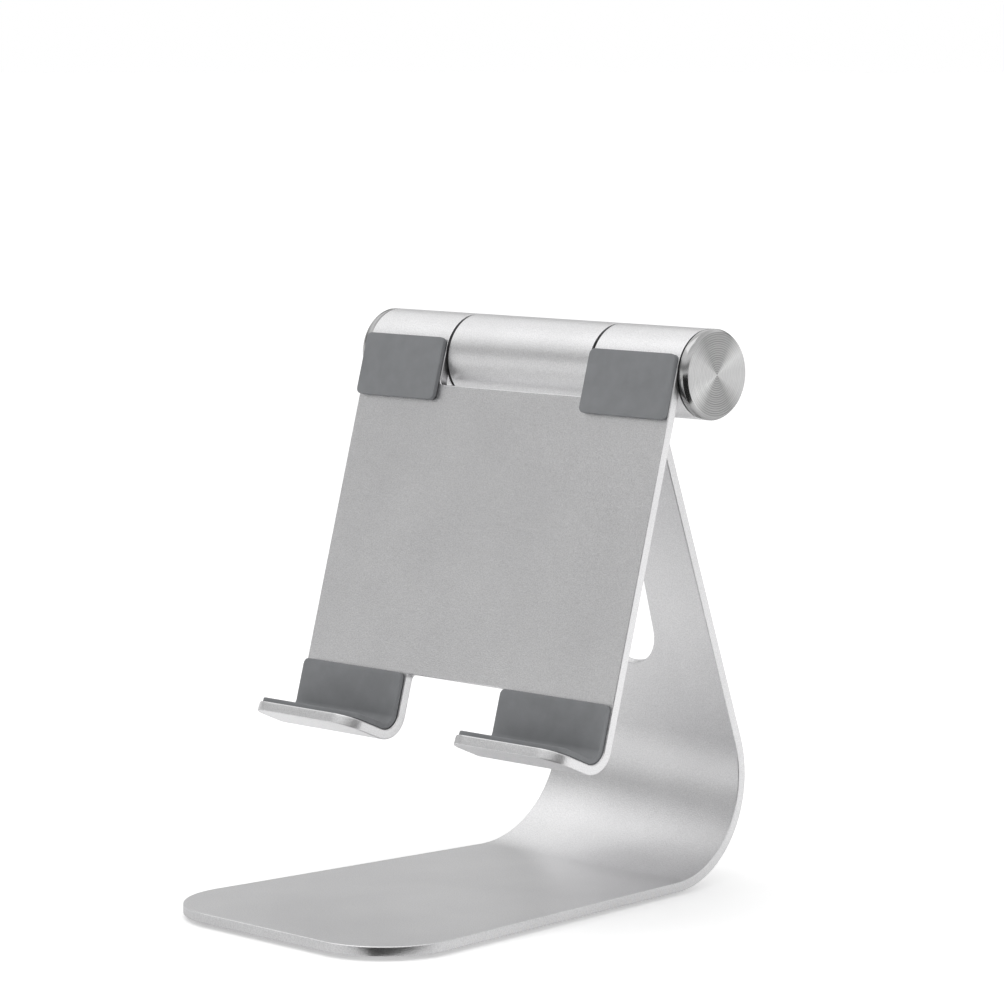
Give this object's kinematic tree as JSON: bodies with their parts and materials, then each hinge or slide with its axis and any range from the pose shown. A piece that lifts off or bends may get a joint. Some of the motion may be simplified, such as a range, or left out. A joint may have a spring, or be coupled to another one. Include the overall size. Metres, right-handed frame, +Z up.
{
  "type": "tablet stand",
  "caption": "Desk stand for a tablet: a bent aluminium base plate carries a hooked cradle plate that tilts on a friction hinge.",
  "frame": {"origin": "on the desk, under the middle of the stand's overall width and depth", "axes": "+X to the right as a user sees it, +Y to the back, +Z up; the tablet faces -Y"},
  "size_m": [0.113, 0.1351, 0.1427],
  "materials": {
    "anodised_aluminium": "bead blasted and clear anodised, satin silver, with polished chamfers",
    "spun_aluminium": "spun face with fine circular grooves, clear anodised",
    "pad_rubber": "matte grey silicone",
    "foot_rubber": "matte grey silicone",
    "ring_rubber": "matte black",
    "bush_plastic": "black acetal, as moulded",
    "hinge_steel": "zinc plated, turned",
    "spring_steel": "oiled spring steel"
  },
  "bodies": {
    "base": {"base_plate": "anodised_aluminium", "bush_left": "bush_plastic", "bush_right": "bush_plastic", "friction_washer_left": "bush_plastic", "friction_washer_right": "bush_plastic", "foot_front_left": "foot_rubber", "foot_front_right": "foot_rubber", "foot_rear_left": "foot_rubber", "foot_rear_right": "foot_rubber"},
    "cradle": {"cradle_plate": "anodised_aluminium", "hinge_shaft": "hinge_steel", "thrust_washer_left": "hinge_steel", "thrust_washer_right": "hinge_steel", "disc_spring_inner_left": "spring_steel", "disc_spring_inner_right": "spring_steel", "disc_spring_outer_left": "spring_steel", "disc_spring_outer_right": "spring_steel", "lock_nut_left": "hinge_steel", "lock_nut_right": "hinge_steel", "cap_ring_left": "ring_rubber", "cap_ring_right": "ring_rubber", "end_cap_left": "spun_aluminium", "end_cap_right": "spun_aluminium", "back_pad_left": "pad_rubber", "back_pad_right": "pad_rubber", "hook_pad_left": "pad_rubber", "hook_pad_right": "pad_rubber"}
  },
  "joints": [
    {"name": "cradle_tilt", "type": "hinge", "parent": "base", "child": "cradle", "pos_m": [0, 0.02872, 0.13168], "axis": [-1, 0, 0], "range_deg": [-38, 225]}
  ]
}
